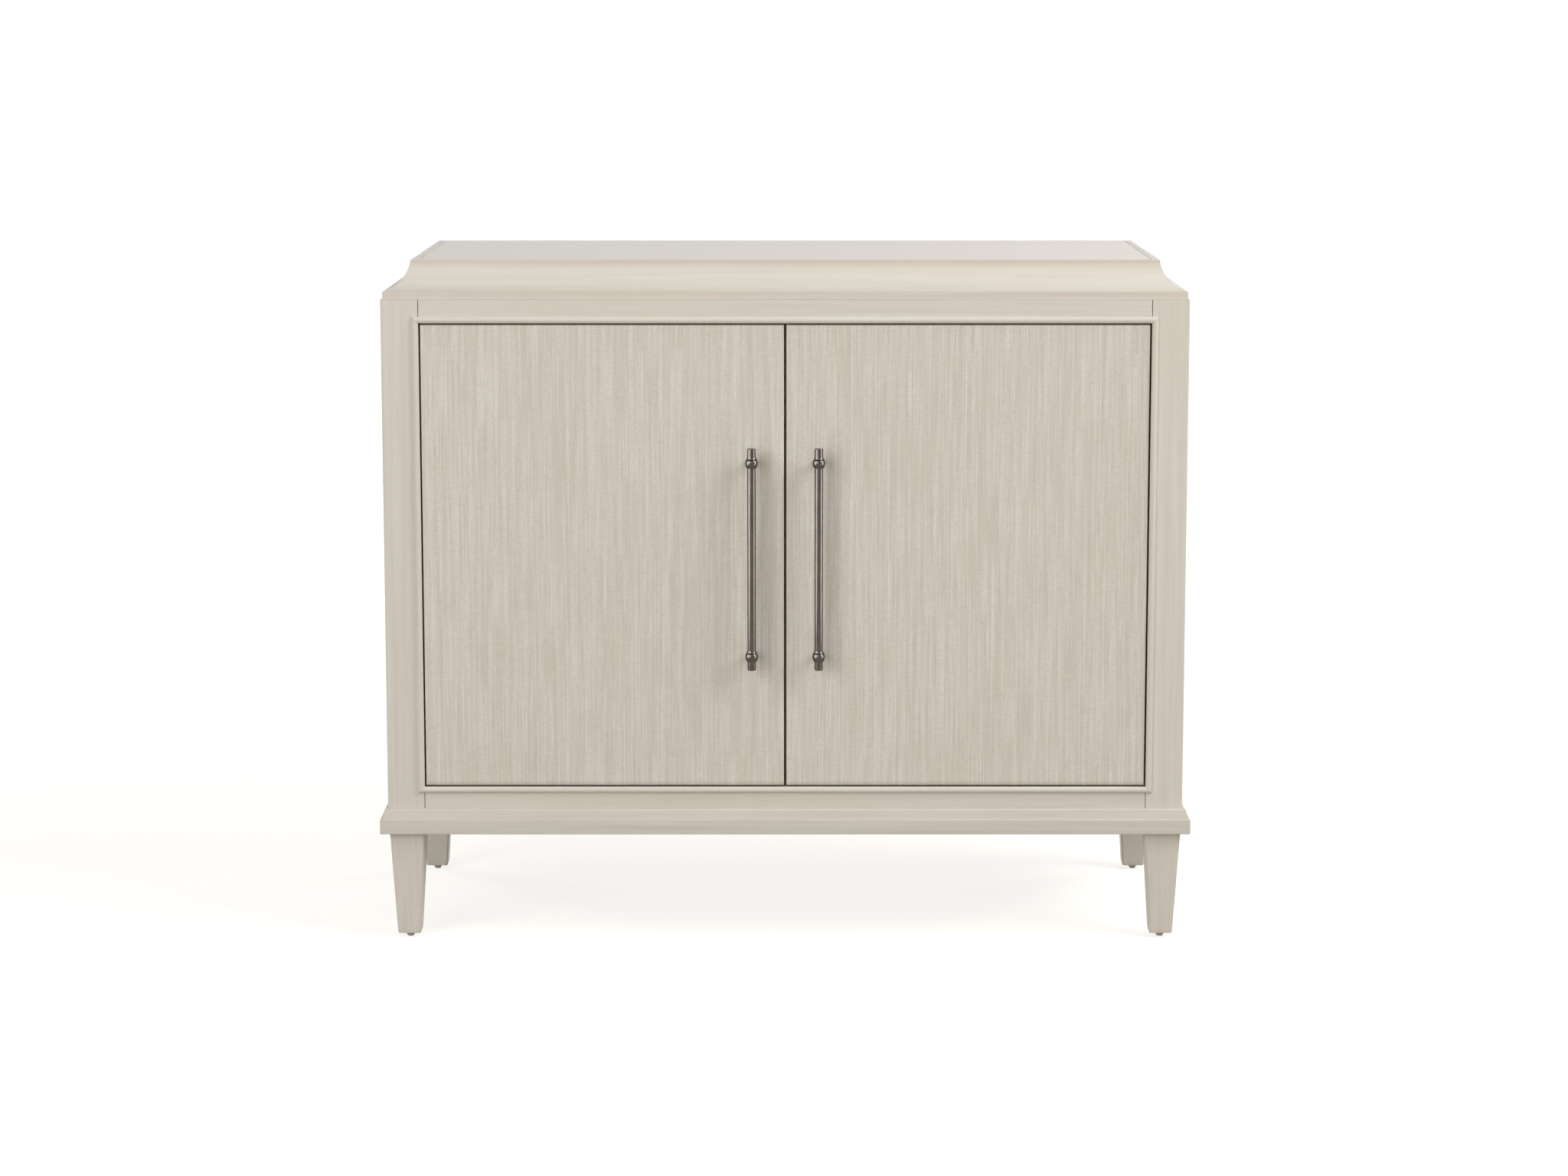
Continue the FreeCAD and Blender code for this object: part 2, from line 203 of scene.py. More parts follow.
def per_mm(*sizes):
    """The texture scale whose patches measure the given sizes in millimetres along X, Y and Z."""
    return [1 / (size * MM) for size in sizes]


def along_grain(axis, across, along):
    """The texture scale for grain that runs along X, Y or Z."""
    return per_mm(*[along if axis == letter else across for letter in "XYZ"])


def washed_wood(name, axis, dark, middle, light, tan, pore, roughness):
    """Oak under a grey wash and satin lacquer: cloudy pale streaks along the grain, a warmer drift from board to
    board, short darker pores that the wash didn't fill, tan shade painted into the hollows of the mouldings, and
    arrises eased by sanding."""
    material, tree, shader, place = finish_named(name)
    streaks = add(tree, "ShaderNodeTexNoise", {
        "Vector": add(tree, "ShaderNodeMapping", {"Vector": place, "Scale": along_grain(axis, 7.0, 260.0)}),
        "Scale": 1.0, "Detail": 5.0, "Roughness": 0.62})
    drift = add(tree, "ShaderNodeTexNoise", {
        "Vector": add(tree, "ShaderNodeMapping", {"Vector": place, "Scale": along_grain(axis, 55.0, 520.0)}),
        "Scale": 1.0, "Detail": 2.0, "Roughness": 0.55})
    # Oak pores are about 0.3 mm wide; they are drawn 1.1 mm wide, so that they show.
    pores = add(tree, "ShaderNodeTexNoise", {
        "Vector": add(tree, "ShaderNodeMapping", {"Vector": place, "Scale": along_grain(axis, 1.1, 42.0)}),
        "Scale": 1.0, "Detail": 2.0, "Roughness": 0.55})
    wash = add(tree, "ShaderNodeValToRGB", {"Fac": streaks},
               stops=[(0.30, linear(dark)), (0.50, linear(middle)), (0.72, linear(light))])
    warm = add(tree, "ShaderNodeValToRGB", {"Fac": drift}, stops=[(0.42, grey(0.0)), (0.75, grey(0.50))])
    washed = add(tree, "ShaderNodeMix", {"Factor": warm, "A": wash, "B": linear(tan)}, out=2, data_type="RGBA")
    open_pores = add(tree, "ShaderNodeValToRGB", {"Fac": pores}, stops=[(0.60, grey(0.0)), (0.80, grey(0.45))])
    grained = add(tree, "ShaderNodeMix", {"Factor": open_pores, "A": washed, "B": linear(pore)}, out=2,
                  data_type="RGBA")
    # Painted shade: a tan colour laid under the brow of the cove, at the head of its lip and at the foot of the
    # base.
    painted_shade_share = add(tree, "ShaderNodeAttribute", out="Fac", attribute_name="painted_shade")
    colour = add(tree, "ShaderNodeMix", {"Factor": painted_shade_share, "A": grained, "B": linear(painted_shade_tan)}, out=2,
                 data_type="RGBA")
    shine = add(tree, "ShaderNodeMapRange", {"Value": streaks, "To Min": roughness - 0.06,
                                             "To Max": roughness + 0.08})
    relief = add(tree, "ShaderNodeMath", {0: streaks, 1: pores}, operation="ADD")
    eased = add(tree, "ShaderNodeBevel", {"Radius": arris * MM}, samples=4)
    bump = add(tree, "ShaderNodeBump", {"Height": relief, "Normal": eased, "Strength": 0.06, "Distance": 0.4 * MM})
    wire(tree, shader, {"Base Color": colour, "Roughness": shine, "Normal": bump})
    return material


def limed_wood(name, axis):
    """Limed oak of the frame, sides and cove: an even pale grey-beige with a low sheen."""
    return washed_wood(name, axis, "#C9C2B8", "#CEC8BE", "#D2CEC5", "#CEC5B8", "#BBB2A5", satin)


def painted_sheen_wood(name, axis):
    """The limed wood of the top, painted paler and cooler than the frame's to stand for the sheen and the light on
    the level board.
    """
    return washed_wood(name, axis, "#D2CDC5", "#D7D2CA", "#DBD7D0", "#D6CFC6", "#C4BCB1", satin)


def moulding_wood(name, axis):
    """Limed oak of the base, a little greyer, with darker open pores."""
    return washed_wood(name, axis, "#C1BAB0", "#C8C2B8", "#CDC9C0", "#C8C0B5", "#A59B8E", satin)


def inside_wood(name, axis):
    """Washed oak veneer inside and at the back: browner and a shade more matt than the outside."""
    return washed_wood(name, axis, "#BAAFA0", "#C5BBAD", "#CEC5B8", "#C6B8A4", "#AFA291", matt)


def painted_raffia():
    """Raffia strands laid side by side over thin cross threads and painted grey-beige: each strand takes the paint
    a little differently along its length, bands of pinkish tan and of cool grey show through, shade is painted into
    the grooves in places, and short ladders of pale cross threads lie over the strands."""
    material, tree, shader, place = finish_named("painted_raffia")
    tone = add(tree, "ShaderNodeAttribute", out="Fac", attribute_name="strand_tone")
    groove = add(tree, "ShaderNodeAttribute", out="Fac", attribute_name="strand_groove")
    colour = add(tree, "ShaderNodeValToRGB", {"Fac": tone},
                 stops=[(0.1, linear("#CCC6BB")), (0.5, linear("#D3CEC4")), (0.9, linear("#DAD6CD"))])
    # Each layer: patch sizes in mm, where it starts and is full, its largest share, and its colour.
    for sizes, start, full, share, tint in (
            ((7.0, 20.0, 150.0), 0.53, 0.74, 0.46, "#C9B5A7"),
            ((16.0, 20.0, 240.0), 0.54, 0.76, 0.42, "#C8C7BB"),
            ((1.6, 6.0, 30.0), 0.66, 0.80, 0.66, "#A59587"),
            ((3.2, 6.0, 3.0), 0.48, 0.72, 0.42, "#B9AEA2"),
            ((1.3, 6.0, 60.0), 0.50, 0.75, 0.40, "#BBAFA2")):
        spread = add(tree, "ShaderNodeMapping", {"Vector": place, "Scale": per_mm(*sizes)})
        fibres = add(tree, "ShaderNodeTexNoise", {"Vector": spread, "Scale": 1.0, "Detail": 3.0, "Roughness": 0.6})
        mask = add(tree, "ShaderNodeMapRange", {"Value": fibres, "From Min": start, "From Max": full,
                                                "To Max": share})
        colour = add(tree, "ShaderNodeMix", {"Factor": mask, "A": colour, "B": linear(tint)}, out=2,
                     data_type="RGBA")
    # Painted shade in the grooves between the strands, in patches.
    shaded = add(tree, "ShaderNodeTexNoise", {
        "Vector": add(tree, "ShaderNodeMapping", {"Vector": place, "Scale": per_mm(10.0, 20.0, 60.0)}),
        "Scale": 1.0, "Detail": 2.0})
    groove_shade = add(tree, "ShaderNodeMapRange", {"Value": shaded, "From Min": 0.40, "From Max": 0.65, "To Min": 0.32,
                                             "To Max": 0.68})
    groove_shade = add(tree, "ShaderNodeMath", {0: groove_shade, 1: groove}, operation="MULTIPLY")
    colour = add(tree, "ShaderNodeMix", {"Factor": groove_shade, "A": colour, "B": linear("#B5AA9D")}, out=2,
                 data_type="RGBA")
    # Cross threads lie about 2 mm apart; they are drawn 3 mm apart, so that they show.
    height = add(tree, "ShaderNodeSeparateXYZ", {0: place}, out="Z")
    phase = add(tree, "ShaderNodeMath", {0: height, 1: 2 * math.pi / (cross_pitch * MM)}, operation="MULTIPLY")
    thread = add(tree, "ShaderNodeMath", {0: phase}, operation="SINE")
    ladders = add(tree, "ShaderNodeTexNoise", {
        "Vector": add(tree, "ShaderNodeMapping", {"Vector": place, "Scale": per_mm(22.0, 20.0, 9.0)}),
        "Scale": 1.0, "Detail": 1.0})
    # The ladders thicken from the head of the doors (0.85 m up) to their foot (0.22 m up).
    lower = add(tree, "ShaderNodeMapRange", {"Value": height, "From Min": 0.85, "From Max": 0.22, "To Max": 0.06})
    ladders = add(tree, "ShaderNodeMath", {0: ladders, 1: lower}, operation="ADD")
    ladders = add(tree, "ShaderNodeMapRange", {"Value": ladders, "From Min": 0.59, "From Max": 0.67})
    cross = add(tree, "ShaderNodeMath", {0: thread, 1: ladders}, operation="MULTIPLY")
    pale = add(tree, "ShaderNodeMapRange", {"Value": cross, "To Max": 0.32})
    colour = add(tree, "ShaderNodeMix", {"Factor": pale, "A": colour, "B": linear("#E4DED4")}, out=2,
                 data_type="RGBA")
    between = add(tree, "ShaderNodeMapRange", {"Value": cross, "From Max": -1.0, "To Max": 0.26})
    colour = add(tree, "ShaderNodeMix", {"Factor": between, "A": colour, "B": linear("#B9AEA2")}, out=2,
                 data_type="RGBA")
    shine = add(tree, "ShaderNodeMapRange", {"Value": fibres, "To Min": 0.62, "To Max": 0.80})
    relief = add(tree, "ShaderNodeMath", {0: cross, 1: fibres}, operation="ADD")
    bump = add(tree, "ShaderNodeBump", {"Height": relief, "Strength": 0.15, "Distance": 0.25 * MM})
    wire(tree, shader, {"Base Color": colour, "Roughness": shine, "Normal": bump})
    return material


def dark_pewter():
    """Dark pewter plate, polished then lacquered: long clear reflections with a faint cloudiness."""
    material, tree, shader, place = finish_named("dark_polished_pewter")
    cloud = add(tree, "ShaderNodeTexNoise", {
        "Vector": add(tree, "ShaderNodeMapping", {"Vector": place, "Scale": per_mm(6.0, 6.0, 22.0)}),
        "Scale": 1.0, "Detail": 4.0})
    colour = add(tree, "ShaderNodeValToRGB", {"Fac": cloud},
                 stops=[(0.3, linear("#484440")), (0.7, linear("#544F4B"))])
    shine = add(tree, "ShaderNodeMapRange", {"Value": cloud, "To Min": 0.15, "To Max": 0.25})
    wire(tree, shader, {"Base Color": colour, "Roughness": shine, "Metallic": 1.0})
    return material


def nickel_steel():
    """Pressed steel with bright nickel plate: silver with fine drawn lines from the press."""
    material, tree, shader, place = finish_named("nickel_plated_steel")
    drawn = add(tree, "ShaderNodeTexNoise", {
        "Vector": add(tree, "ShaderNodeMapping", {"Vector": place, "Scale": per_mm(0.8, 0.8, 14.0)}),
        "Scale": 1.0, "Detail": 3.0})
    colour = add(tree, "ShaderNodeValToRGB", {"Fac": drawn},
                 stops=[(0.3, linear("#A9A8A4")), (0.7, linear("#C4C3BF"))])
    shine = add(tree, "ShaderNodeMapRange", {"Value": drawn, "To Min": 0.26, "To Max": 0.42})
    wire(tree, shader, {"Base Color": colour, "Roughness": shine, "Metallic": 1.0})
    return material


def moulded_nylon():
    """Grey-brown moulded nylon: dull, with a fine spark-eroded skin and paler scuffs."""
    material, tree, shader, place = finish_named("moulded_nylon")
    skin = add(tree, "ShaderNodeTexNoise", {
        "Vector": add(tree, "ShaderNodeMapping", {"Vector": place, "Scale": per_mm(0.7, 0.7, 0.7)}),
        "Scale": 1.0, "Detail": 2.0})
    scuffs = add(tree, "ShaderNodeTexNoise", {
        "Vector": add(tree, "ShaderNodeMapping", {"Vector": place, "Scale": per_mm(5.0, 5.0, 2.0)}),
        "Scale": 1.0, "Detail": 4.0})
    colour = add(tree, "ShaderNodeValToRGB", {"Fac": scuffs},
                 stops=[(0.35, linear("#BFB6A9")), (0.75, linear("#CFC7BB"))])
    shine = add(tree, "ShaderNodeMapRange", {"Value": scuffs, "To Min": 0.45, "To Max": 0.62})
    bump = add(tree, "ShaderNodeBump", {"Height": skin, "Strength": 0.2, "Distance": 0.1 * MM})
    wire(tree, shader, {"Base Color": colour, "Roughness": shine, "Normal": bump})
    return material


def soft_bumper():
    """Clear polyurethane bumpers gone slightly milky: a soft gloss over a pale grey body."""
    material, tree, shader, place = finish_named("clear_polyurethane")
    milk = add(tree, "ShaderNodeTexNoise", {
        "Vector": add(tree, "ShaderNodeMapping", {"Vector": place, "Scale": per_mm(3.0, 3.0, 3.0)}),
        "Scale": 1.0, "Detail": 2.0})
    colour = add(tree, "ShaderNodeValToRGB", {"Fac": milk},
                 stops=[(0.3, linear("#C2BFB8")), (0.7, linear("#D0CDC7"))])
    shine = add(tree, "ShaderNodeMapRange", {"Value": milk, "To Min": 0.22, "To Max": 0.34})
    wire(tree, shader, {"Base Color": colour, "Roughness": shine})
    return material


limed = {axis: limed_wood("limed_oak_grain_" + axis.lower(), axis) for axis in "XYZ"}
# The top's wood is a paler, cooler copy of the limed wood: painted sheen and light.
limed_top_painted_sheen = painted_sheen_wood("limed_top_painted_sheen_grain_x", "X")
moulding = {axis: moulding_wood("limed_moulding_grain_" + axis.lower(), axis) for axis in "XY"}
inside = {axis: inside_wood("inside_oak_grain_" + axis.lower(), axis) for axis in "XYZ"}
raffia = painted_raffia()
pewter = dark_pewter()
nickel = nickel_steel()
nylon = moulded_nylon()
bumper_skin = soft_bumper()


# Mesh helpers

def grid_faces(rows, columns, wrapped=False):
    """Four-sided faces between neighbouring points of a grid; a wrapped grid's last column meets its first."""
    index = np.arange(rows * columns).reshape(rows, columns)
    if wrapped:
        index = np.hstack([index, index[:, :1]])
    return np.stack([index[:-1, :-1], index[:-1, 1:], index[1:, 1:], index[1:, :-1]], axis=-1).reshape(-1, 4)


def piece(name, points, faces, material, slot, body, *replaced, crease=34.0, values=None):
    """A finished piece that rides a body and stands for CAD nodes: points in millimetres, doubles merged,
    faces turned outward, smooth up to the crease angle, with any named values per point."""
    mesh = bpy.data.meshes.new(name)
    mesh.from_pydata((np.reshape(points, (-1, 3)) * MM).tolist(), [], [list(map(int, face)) for face in faces])
    for key, numbers in (values or {}).items():
        mesh.attributes.new(key, "FLOAT", "POINT").data.foreach_set("value", np.ravel(numbers).astype(np.float32))
    shape = bmesh.new()
    shape.from_mesh(mesh)
    bmesh.ops.remove_doubles(shape, verts=shape.verts, dist=merge_gap * MM)
    bmesh.ops.recalc_face_normals(shape, faces=shape.faces)
    shape.to_mesh(mesh)
    shape.free()
    mesh.shade_smooth()
    mesh.set_sharp_from_angle(angle=math.radians(crease))
    mesh.materials.append(material)
    made = bpy.data.objects.new(name, mesh)
    scene.collection.objects.link(made)
    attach(made, body)
    if replaced:
        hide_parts(*replaced)


def rounded(corners, radius, steps=4):
    """A closed outline with each corner eased: a parabola from a point before the corner to one after it, each
    the radius away from it but never past a set share of the edge it lies on."""
    corners = np.asarray(corners, float)
    before = np.roll(corners, 1, axis=0) - corners
    after = np.roll(corners, -1, axis=0) - corners
    reach_before = np.linalg.norm(before, axis=1, keepdims=True)
    reach_after = np.linalg.norm(after, axis=1, keepdims=True)
    reach = np.minimum(radius, corner_share * np.minimum(reach_before, reach_after))
    start = corners + before * (reach / reach_before)
    end = corners + after * (reach / reach_after)
    t = np.linspace(0, 1, steps + 1)[:, None, None]
    curve = (1 - t) ** 2 * start + 2 * t * (1 - t) * corners + t ** 2 * end
    return curve.transpose(1, 0, 2).reshape(-1, 2)


def straight_run(name, start, end, material, body, node, painted_shade=0.0):
    """A closed outline carried straight from its start ring to its end ring, with flat ends and with the share of
    painted shade that each of its points holds."""
    count = len(start)
    faces = grid_faces(2, count, wrapped=True).tolist()
    faces += [list(range(count)), list(range(count, 2 * count))]
    piece(name, np.stack([start, end]), faces, material, "limed_wood", body, node,
          values={"painted_shade": np.broadcast_to(painted_shade, (2, count))})


def turned(outline, centre, along):
    """A turned form: (radius, height) points carried round an axis through the centre, as a grid of points."""
    radius, height = np.asarray(outline, float).T
    angle = np.linspace(0, 2 * np.pi, turned_sides, endpoint=False)
    along = np.array(along, float)
    side = np.array([along[1], along[2], along[0]])
    other = np.cross(along, side)
    ring = np.cos(angle)[:, None] * side + np.sin(angle)[:, None] * other
    return np.array(centre) + radius[:, None, None] * ring + height[:, None, None] * along


# Mouldings of the case

def run_front(name, outline, painted_shade, wood, half_width, face_y):
    """A moulding across the front, mitred at both corners: each point of its outline lies its own distance
    out from the case, in front of it and past its end."""
    out, up = outline.T
    left = np.stack([-half_width - out, face_y - out, up], axis=1)
    right = np.stack([half_width + out, face_y - out, up], axis=1)
    straight_run(name + "_front_run", left, right, wood["X"], "case", name + "_front", painted_shade)


def run_sides(name, outline, painted_shade, wood, half_width, face_y, back_y):
    """The same moulding along both sides, mitred at the front and square at the back."""
    out, up = outline.T
    for side, word in ((-1, "_left"), (1, "_right")):
        front = np.stack([side * (half_width + out), face_y - out, up], axis=1)
        back = np.stack([side * (half_width + out), np.full_like(out, back_y), up], axis=1)
        straight_run(name + word + "_run", front, back, wood["Y"], "case", name + word, painted_shade)


def cove_outline(low, high, setback, top_setback):
    """A lip, then a hollow of one radius rising inward to the eased edge of the flat rim."""
    lip_head = np.array([-setback, low + cove_lip])
    brow = np.array([-top_setback, high])
    chord = brow - lip_head
    length = np.linalg.norm(chord)
    inward = np.array([chord[1], -chord[0]]) / length
    centre = (lip_head + brow) / 2 + inward * math.sqrt(cove_radius ** 2 - length ** 2 / 4)
    sweep = math.asin(length / 2 / cove_radius)
    turn = np.linspace(-sweep, sweep, 40)[:, None]
    hollow = centre - cove_radius * (np.cos(turn) * inward - np.sin(turn) * chord / length)
    rest = [[-top_setback - top_rim, high], [-top_setback - top_rim, low], [-setback, low]]
    return rounded(np.vstack([hollow, rest]), arris)


def base_outline(low, high, foot):
    """A leaning face let a little into the band, with a quarter round at its head."""
    turn = np.linspace(0, np.pi / 2, 12)
    head_out = moulding_head - moulding_round + moulding_round * np.cos(turn)
    head_up = high - moulding_round + moulding_round * np.sin(turn)
    head = np.stack([head_out, head_up], axis=1)
    seat = low - moulding_seat
    return rounded(np.vstack([[[0, seat], [foot, seat], [foot, low]], head, [[0, high]]]), arris)


def band_outline(low, high, out):
    """A plain band with softly worn arrises."""
    return rounded([[0, low], [out, low], [out, high], [0, high]], 2 * arris)


def dress_mouldings():
    """The cove, the base moulding and the band. Under the brow of the cove the painted shade builds up quickly and
    fades as a power of the way down; over its lip and at the foot of the base it falls off evenly on both sides."""
    post_low = box_mm("front_post_left")[0]
    half_width, face_y = -post_low[0], post_low[1]
    back_y = box_mm("rear_post_left")[1][1]
    cove_low, cove_high = box_mm("cove_front")
    brow_setback = cove_high[1] - top_rim - face_y
    band_low, band_high = box_mm("band_front")
    base_low, base_high = box_mm("base_moulding_front")
    cove = cove_outline(cove_low[2], cove_high[2], cove_low[1] - face_y, brow_setback)
    base = base_outline(base_low[2], base_high[2], face_y - base_low[1])
    band = band_outline(band_low[2], band_high[2], face_y - band_low[1])
    # Painted shade: tan shares under the brow of the cove, at the head of its lip and at the foot of the base
    # moulding.
    under_brow = (cove_high[2] - cove[:, 1]) / brow_shade_reach
    brow = brow_share * np.clip(under_brow / brow_start, 0, 1) * np.clip(1 - under_brow, 0, 1) ** brow_fade
    lip = lip_share * np.clip(1 - np.abs(cove[:, 1] - cove_low[2] - cove_lip) / lip_shade_reach, 0, 1)
    foot = foot_share * np.clip(1 - np.abs(base[:, 1] - base_low[2]) / foot_shade_reach, 0, 1)
    for name, outline, painted_shade, wood in (("cove", cove, np.maximum(brow, lip), limed),
                                       ("base_moulding", base, foot, moulding), ("band", band, 0.0, moulding)):
        run_front(name, outline, painted_shade, wood, half_width, face_y)
        run_sides(name, outline, painted_shade, wood, half_width, face_y, back_y)


def dress_top():
    """The let-in top panel with a quarter round along its arrises: a stack of rectangles, each inset by
    1 - cos and risen by sin of the turn."""
    low, high = box_mm("top_panel")
    turn = np.concatenate([[0], np.linspace(0, np.pi / 2, 7)])
    inset = arris * (1 - np.cos(turn))[:, None]
    rise = high[2] - arris * (1 - np.sin(turn))
    rise[0] = low[2]
    x = np.hstack([low[0] + inset, high[0] - inset, high[0] - inset, low[0] + inset])
    y = np.hstack([low[1] + inset, low[1] + inset, high[1] - inset, high[1] - inset])
    points = np.stack([x, y, np.repeat(rise[:, None], 4, axis=1)], axis=-1)
    faces = grid_faces(len(turn), 4, wrapped=True).tolist()
    faces += [[0, 1, 2, 3], [4 * len(turn) - 4 + corner for corner in range(4)]]
    piece("top_panel_eased", points, faces, limed_top_painted_sheen, "limed_wood", "case", "top_panel")


def dress_beads():
    """Half-round bead round the door opening, lapping its edge a little: across the bead, out from its inner edge
    as 1 - cos and forward as sin, mitred at the corners."""
    left_low, left_high = box_mm("bead_left")
    face_y = left_high[1]
    width = left_high[0] - left_low[0] + bead_lap
    rise = face_y - left_low[1]
    half = -left_low[0] - width
    low = left_low[2] + width
    high = left_high[2] - width
    turn = np.linspace(0, np.pi, 25)
    out = width / 2 * (1 - np.cos(turn))
    forward = face_y - rise * np.sin(turn)
    corner = {
        (x, z): np.stack([x * (half + out), forward, np.full_like(out, high if z > 0 else low) + z * out], axis=1)
        for x in (-1, 1) for z in (-1, 1)
    }
    straight_run("bead_bottom_run", corner[-1, -1], corner[1, -1], limed["X"], "case", "bead_bottom")
    straight_run("bead_top_run", corner[-1, 1], corner[1, 1], limed["X"], "case", "bead_top")
    straight_run("bead_left_run", corner[-1, -1], corner[-1, 1], limed["Z"], "case", "bead_left")
    straight_run("bead_right_run", corner[1, -1], corner[1, 1], limed["Z"], "case", "bead_right")


# Raffia facings

def drift_along(chance, spacing, height, count):
    """Smooth random values from 0 to 1 along each strand: knots at the given spacing, joined by S-curves."""
    knots = round(height / spacing) + 1
    spot = np.linspace(0, knots - 1, facing_rows)
    pull = np.clip(1 - np.abs(spot[:, None] - np.arange(knots)), 0, 1)
    return (pull * pull * (3 - 2 * pull)) @ chance.uniform(0, 1, (knots, count))


def strands(low, high, seed):
    """Upright strands of uneven width side by side. Across a strand the surface is a low arch; along it the
    strand swells, wanders and changes tone by smooth random amounts. The border folds back to the door's core."""
    chance = np.random.default_rng(seed)
    across = high[0] - low[0] - 2 * facing_edge
    tall = high[2] - low[2] - 2 * facing_edge
    count = round(across / strand_width)
    widths = chance.uniform(least_width_share, most_width_share, count)
    edges = np.concatenate([[0], np.cumsum(widths / widths.sum() * across)])
    z = low[2] + facing_edge + np.linspace(0, tall, facing_rows)
    shift = strand_wander * (2 * drift_along(chance, slub_length, tall, count + 1) - 1)
    shift[:, [0, -1]] = 0
    boundary = edges + shift
    fullness = least_fullness + (1 - least_fullness) * drift_along(chance, slub_length, tall, count)
    step = np.array([0, 0.25, 0.5, 0.75])
    arch = np.array([0, 0.8, 1, 0.8])
    wide = boundary[:, :-1, None] + step * np.diff(boundary)[:, :, None]
    x = low[0] + facing_edge + np.hstack([wide.reshape(facing_rows, -1), boundary[:, -1:]])
    crest = np.hstack([(fullness[:, :, None] * arch).reshape(facing_rows, -1), np.zeros((facing_rows, 1))])
    y = low[1] + strand_relief * (1 - crest)
    tone = np.repeat(drift_along(chance, tone_length, tall, count), len(step), axis=1)
    tone = np.pad(tone, ((2, 2), (2, 3)), mode="edge")
    groove = np.append(np.tile(1 - arch, count), 1.0)
    groove = np.repeat(np.pad(groove, 2, mode="edge")[None], facing_rows + 4, axis=0)
    columns = x.shape[1] + 4
    frame_x = np.pad(x, 2, mode="edge")
    frame_x[:, :2], frame_x[:, -2:] = low[0], high[0]
    frame_y = np.full((facing_rows + 4, columns), high[1])
    frame_y[1:-1, 1:-1] = low[1] + strand_relief + facing_edge
    frame_y[2:-2, 2:-2] = y
    frame_z = np.repeat(np.pad(z, 2, mode="edge")[:, None], columns, axis=1)
    frame_z[:2], frame_z[-2:] = low[2], high[2]
    return np.stack([frame_x, frame_y, frame_z], axis=-1), {"strand_tone": tone, "strand_groove": groove}


def dress_raffia():
    """A facing of strands on each door, closed by one flat face at its back."""
    for side, seed in facing_seeds.items():
        points, values = strands(*box_mm("door_weave_" + side), seed)
        rows, columns = points.shape[:2]
        index = np.arange(rows * columns).reshape(rows, columns)
        rim = np.concatenate([index[0, :-1], index[:-1, -1], index[-1, :0:-1], index[:0:-1, 0]])
        faces = grid_faces(rows, columns).tolist() + [rim.tolist()]
        piece("raffia_facing_" + side, points, faces, raffia, "raffia", side + "_door", "door_weave_" + side,
              crease=80.0, values=values)


# Pulls

def rod_outline(radius, half):
    """A rod with quarter rounds at its ends, as (radius, height) points from its top to its foot."""
    turn = np.linspace(0, np.pi / 2, 9)
    end = np.stack([radius - bar_end_round * (1 - np.sin(turn)),
                    half - bar_end_round * (1 - np.cos(turn))], axis=1)
    return np.vstack([[[0, half]], end, end[::-1] * [1, -1], [[0, -half]]])


def collar_outline(bore):
    """A collar round the rod: a ball whose radius swells over its two ends by a power of a sine, then a crease, then
    a flare that narrows to the neck as a power of the way up."""
    u = np.linspace(0, 1, 21)
    ball_length = 2 * collar_half - flare_length
    end_radius = crease_radius + (neck_radius - crease_radius) * u
    ball = np.stack([end_radius + (ball_radius - end_radius) * np.sin(np.pi * u ** ball_skew) ** ball_fullness,
                     ball_length * (1 - u) - collar_half], axis=1)[::-1]
    v = np.linspace(0, 1, 9)
    flare = np.stack([flare_radius + (neck_radius - flare_radius) * v ** flare_curve,
                      collar_half - (flare_length - crease_width) * (1 - v)], axis=1)
    return np.vstack([[[bore, -collar_half]], ball, flare, [[bore, collar_half]]])


def stem_outline(length):
    """A round stem from the rod's middle that widens as a power of the way to the door."""
    s = np.linspace(0, 1, 12)
    stem = np.stack([stem_radius + (stem_foot_radius - stem_radius) * s ** stem_curve, s * length], axis=1)
    return np.vstack([[[0, 0]], stem, [[0, stem[-1, 1]]]])


def dress_pulls():
    """A rod on each door, held by two posts: each a turned collar round the rod on a stem to the door."""
    for side in ("left", "right"):
        low, high = box_mm("pull_bar_" + side)
        centre = (low + high) / 2
        radius = (high[0] - low[0]) / 2
        rod = rod_outline(radius, (high[2] - low[2]) / 2)
        piece("pull_rod_" + side, turned(rod, centre, (0, 0, 1)), grid_faces(len(rod), turned_sides, wrapped=True),
              pewter, "pewter", side + "_door", "pull_bar_" + side)

        post_low, post_high = box_mm("pull_posts_" + side)
        door_face = box_mm("door_weave_" + side)[0][1]
        collar = collar_outline(radius)
        stem = stem_outline(door_face - centre[1] + strand_relief)
        points, faces = [], []
        for height in (post_low[2] + collar_half, post_high[2] - collar_half):
            middle = (centre[0], centre[1], height)
            for outline, axis, closed in ((collar, (0, 0, 1), True), (stem, (0, 1, 0), False)):
                grid = turned(outline, middle, axis).reshape(-1, 3)
                quads = grid_faces(len(outline), turned_sides, wrapped=True)
                if closed:
                    ring = np.arange(turned_sides)
                    last = (len(outline) - 1) * turned_sides + ring
                    seam = np.stack([last, np.roll(last, -1), np.roll(ring, -1), ring], axis=1)
                    quads = np.vstack([quads, seam])
                faces.append(quads + sum(map(len, points)))
                points.append(grid)
        piece("pull_collars_" + side, np.vstack(points), np.vstack(faces), pewter, "pewter",
              side + "_door", "pull_posts_" + side)


# Glides

